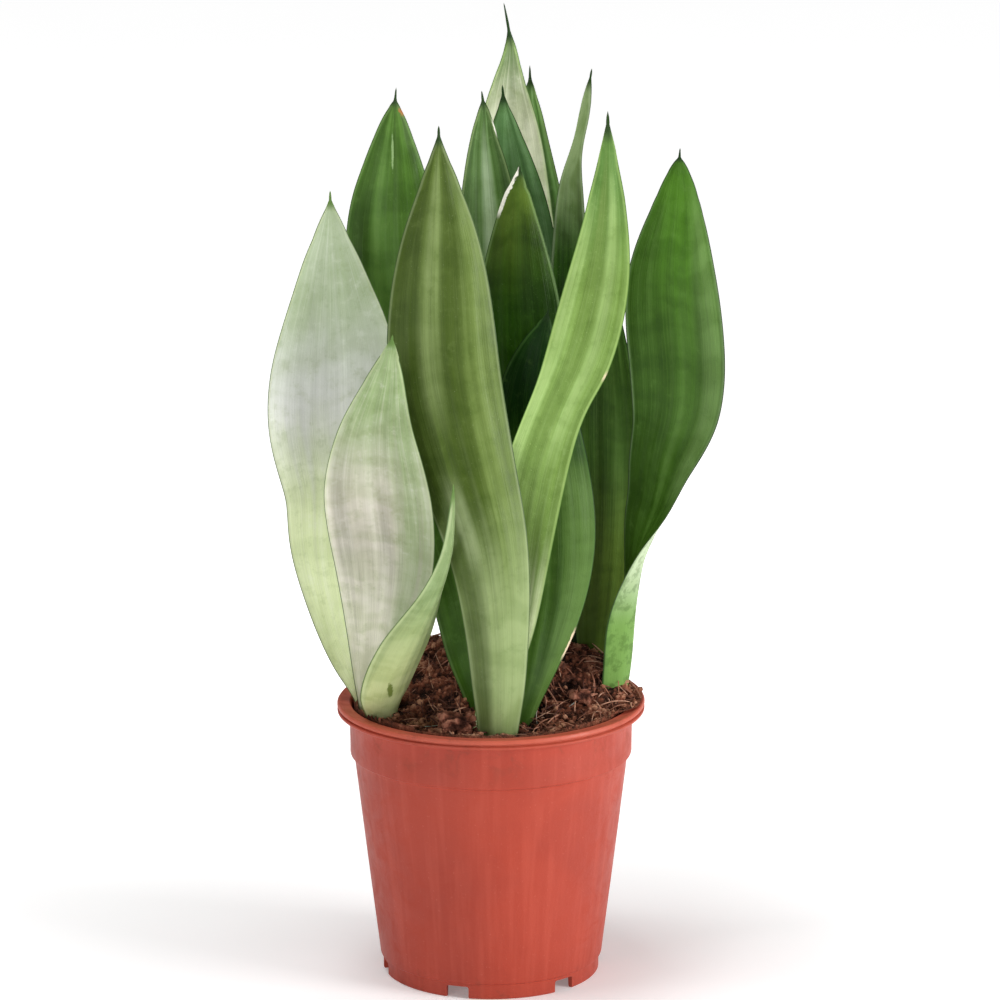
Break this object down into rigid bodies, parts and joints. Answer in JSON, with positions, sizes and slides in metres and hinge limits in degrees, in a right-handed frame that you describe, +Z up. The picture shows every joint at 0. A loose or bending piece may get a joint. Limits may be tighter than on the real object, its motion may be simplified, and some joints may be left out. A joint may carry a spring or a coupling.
{
  "type": "potted snake plant",
  "caption": "Snake plant with upright lance-shaped leaves, silver to dark green, growing from a soil mound in a round tapered plastic nursery pot.",
  "frame": {"origin": "on the pot's axis, on the plane its feet stand on, which is the bottom centre of the bounding box", "axes": "+Z up along the pot's axis and the leaves, -Y towards the front, +X to the right seen from the front"},
  "size_m": [0.1755, 0.12, 0.375],
  "materials": {
    "terracotta_plastic": "satin",
    "peat": "matte",
    "silver_leaf": "satin",
    "pale_leaf": "satin",
    "olive_leaf": "satin",
    "lime_leaf": "satin",
    "mid_green_leaf": "satin",
    "dark_leaf": "satin",
    "rhizome": "satin",
    "bark": "matte"
  },
  "bodies": {
    "root": {"nursery_pot": "terracotta_plastic", "potting_soil": "peat", "rhizome_left": "rhizome", "rhizome_front": "rhizome", "rhizome_right": "rhizome", "rhizome_back": "rhizome", "leaf_outer_left": "silver_leaf", "leaf_small_left": "silver_leaf", "leaf_low_rolled": "pale_leaf", "leaf_back_left": "mid_green_leaf", "leaf_central": "olive_leaf", "leaf_lime": "lime_leaf", "leaf_lower_right": "dark_leaf", "leaf_middle": "mid_green_leaf", "leaf_centre_back": "mid_green_leaf", "leaf_blue_back": "dark_leaf", "leaf_tallest": "lime_leaf", "leaf_right_back": "mid_green_leaf", "leaf_twisted": "mid_green_leaf", "leaf_big_right": "dark_leaf", "leaf_slim_right": "mid_green_leaf", "bark_chip_front": "bark", "bark_chip_right": "bark"}
  },
  "joints": []
}
